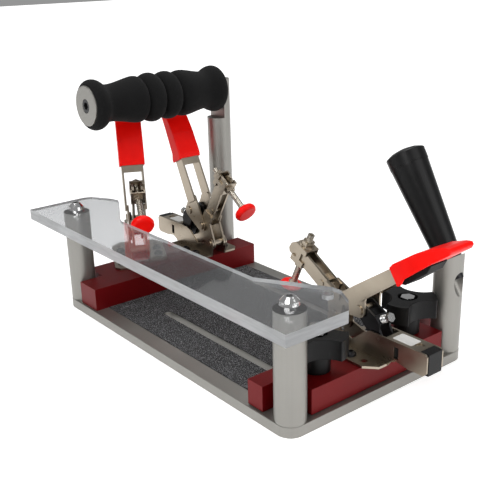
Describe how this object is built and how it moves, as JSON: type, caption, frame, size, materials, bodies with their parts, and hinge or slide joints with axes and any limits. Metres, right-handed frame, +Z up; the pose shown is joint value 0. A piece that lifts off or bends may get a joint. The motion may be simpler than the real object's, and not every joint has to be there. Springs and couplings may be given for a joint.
{
  "type": "two-handled small-parts hold-down jig",
  "caption": "Handled hold-down jig: grit-faced plate, clear front guard, fixed and sliding clamp bars, toggle clamps with rubber-tipped spindles, foam and cone grips.",
  "frame": {"origin": "centre of the base plate's underside", "axes": "+Z up, out of the grit face; +X along the plate from the fixed bar to the sliding bar; +Y from the guarded front edge to the back"},
  "size_m": [0.4693, 0.2354, 0.2294],
  "materials": {
    "plate_silver": "satin anodised",
    "grit": "coarse abrasive sheet with fine sparkle",
    "steel_fastener": "polished",
    "clear_acrylic": "clear, polished, milled edges",
    "foam": "matte foam",
    "dark_bolt": "black oxide",
    "handle_black": "semi-matte moulded",
    "anodised_red": "satin, dark red anodised",
    "knob_black": "semi-gloss moulded",
    "nickel": "warm nickel plate",
    "grip_red": "dipped vinyl, soft gloss",
    "tip_red": "moulded rubber",
    "block_black": "moulded"
  },
  "bodies": {
    "frame": {"base_plate": "plate_silver", "grip_pad": "grit", "base_screws": "steel_fastener", "post_front_left": "plate_silver", "post_front_right": "plate_silver", "post_rear_left": "plate_silver", "post_rear_right": "plate_silver", "guard_plate": "clear_acrylic", "guard_screws": "steel_fastener", "foam_grip": "foam", "grip_core": "plate_silver", "grip_end_cap": "plate_silver", "grip_bolt": "dark_bolt", "side_handle": "handle_black", "side_handle_cap": "handle_black", "side_handle_bolt": "dark_bolt", "fixed_bar": "anodised_red", "clamp_a_base": "nickel", "clamp_a_end_block": "block_black", "clamp_a_screws": "dark_bolt", "clamp_a_pins": "nickel", "clamp_b_base": "nickel", "clamp_b_end_block": "block_black", "clamp_b_screws": "dark_bolt", "clamp_b_pins": "nickel"},
    "bar_carriage": {"sliding_bar": "anodised_red", "slide_studs": "steel_fastener", "clamp_c_base": "nickel", "clamp_c_end_block": "block_black", "clamp_c_screws": "dark_bolt", "clamp_c_pins": "nickel"},
    "knob_front": {"knob_front": "knob_black"},
    "knob_rear": {"knob_rear": "knob_black"},
    "arm_a": {"clamp_a_arm": "nickel", "clamp_a_saddle": "nickel"},
    "spindle_a": {"clamp_a_spindle": "nickel", "clamp_a_tip": "tip_red"},
    "handle_a": {"clamp_a_handle": "nickel", "clamp_a_grip": "grip_red", "clamp_a_insert": "block_black"},
    "link_a": {"clamp_a_link": "block_black", "clamp_a_adjuster": "steel_fastener"},
    "arm_b": {"clamp_b_arm": "nickel", "clamp_b_saddle": "nickel"},
    "spindle_b": {"clamp_b_spindle": "nickel", "clamp_b_tip": "tip_red"},
    "handle_b": {"clamp_b_handle": "nickel", "clamp_b_grip": "grip_red", "clamp_b_insert": "block_black"},
    "link_b": {"clamp_b_link": "block_black", "clamp_b_adjuster": "steel_fastener"},
    "arm_c": {"clamp_c_arm": "nickel", "clamp_c_saddle": "nickel"},
    "spindle_c": {"clamp_c_spindle": "nickel", "clamp_c_tip": "tip_red"},
    "handle_c": {"clamp_c_handle": "nickel", "clamp_c_grip": "grip_red", "clamp_c_insert": "block_black"},
    "link_c": {"clamp_c_link": "block_black", "clamp_c_adjuster": "steel_fastener"}
  },
  "joints": [
    {"name": "bar_slide", "type": "slide", "parent": "frame", "child": "bar_carriage", "axis": [1, 0, 0], "range_m": [-0.15, 0]},
    {"name": "knob_front_turn", "type": "hinge", "parent": "bar_carriage", "child": "knob_front", "pos_m": [0.1474, -0.0514, 0.055], "axis": [0, 0, 1], "continuous": true},
    {"name": "knob_rear_turn", "type": "hinge", "parent": "bar_carriage", "child": "knob_rear", "pos_m": [0.1474, 0.0546, 0.055], "axis": [0, 0, 1], "continuous": true},
    {"name": "arm_a_swing", "type": "hinge", "parent": "frame", "child": "arm_a", "pos_m": [-0.139, -0.033, 0.0457], "axis": [-0.4462, -0.8949, 0], "range_deg": [-62, 1]},
    {"name": "handle_a_swing", "type": "hinge", "parent": "arm_a", "child": "handle_a", "pos_m": [-0.15412, -0.02546, 0.0608], "axis": [-0.4462, -0.8949, 0], "range_deg": [-2.01, 124.01]},
    {"name": "link_a_swing", "type": "hinge", "parent": "handle_a", "child": "link_a", "pos_m": [-0.17099, -0.01705, 0.07675], "axis": [-0.4462, -0.8949, 0], "range_deg": [-96.11, 1.56]},
    {"name": "spindle_a_adjust", "type": "slide", "parent": "arm_a", "child": "spindle_a", "axis": [-0.7902, 0.394, 0.4695], "range_m": [-0.006, 0.01]},
    {"name": "arm_b_swing", "type": "hinge", "parent": "frame", "child": "arm_b", "pos_m": [-0.1185, 0.0503, 0.0457], "axis": [0, -1, 0], "range_deg": [-54, 4]},
    {"name": "handle_b_swing", "type": "hinge", "parent": "arm_b", "child": "handle_b", "pos_m": [-0.13312, 0.0503, 0.063], "axis": [0, -1, 0], "range_deg": [-8.01, 108.01]},
    {"name": "link_b_swing", "type": "hinge", "parent": "handle_b", "child": "link_b", "pos_m": [-0.15401, 0.0503, 0.07618], "axis": [0, -1, 0], "range_deg": [-83.71, 6.21]},
    {"name": "spindle_b_adjust", "type": "slide", "parent": "arm_b", "child": "spindle_b", "axis": [-0.809, 0, 0.5878], "range_m": [-0.011, 0.005]},
    {"name": "arm_c_swing", "type": "hinge", "parent": "bar_carriage", "child": "arm_c", "pos_m": [0.1187, 0.0036, 0.0457], "axis": [0, 1, 0], "range_deg": [-25, 45]},
    {"name": "handle_c_swing", "type": "hinge", "parent": "arm_c", "child": "handle_c", "pos_m": [0.1231, 0.0036, 0.06792], "axis": [0, 1, 0], "range_deg": [-90.01, 50.01]},
    {"name": "link_c_swing", "type": "hinge", "parent": "handle_c", "child": "link_c", "pos_m": [0.14776, 0.0036, 0.06932], "axis": [0, 1, 0], "range_deg": [-38.76, 69.76]},
    {"name": "spindle_c_adjust", "type": "slide", "parent": "arm_c", "child": "spindle_c", "axis": [0.4226, 0, 0.9063], "range_m": [-0.012, 0.004]}
  ],
  "couplings": [
    {"joint": "handle_a_swing", "follows": "arm_a_swing", "ratio": -2},
    {"joint": "link_a_swing", "follows": "arm_a_swing", "ratio": 1.55},
    {"joint": "handle_b_swing", "follows": "arm_b_swing", "ratio": -2},
    {"joint": "link_b_swing", "follows": "arm_b_swing", "ratio": 1.55},
    {"joint": "handle_c_swing", "follows": "arm_c_swing", "ratio": -2},
    {"joint": "link_c_swing", "follows": "arm_c_swing", "ratio": 1.55}
  ]
}
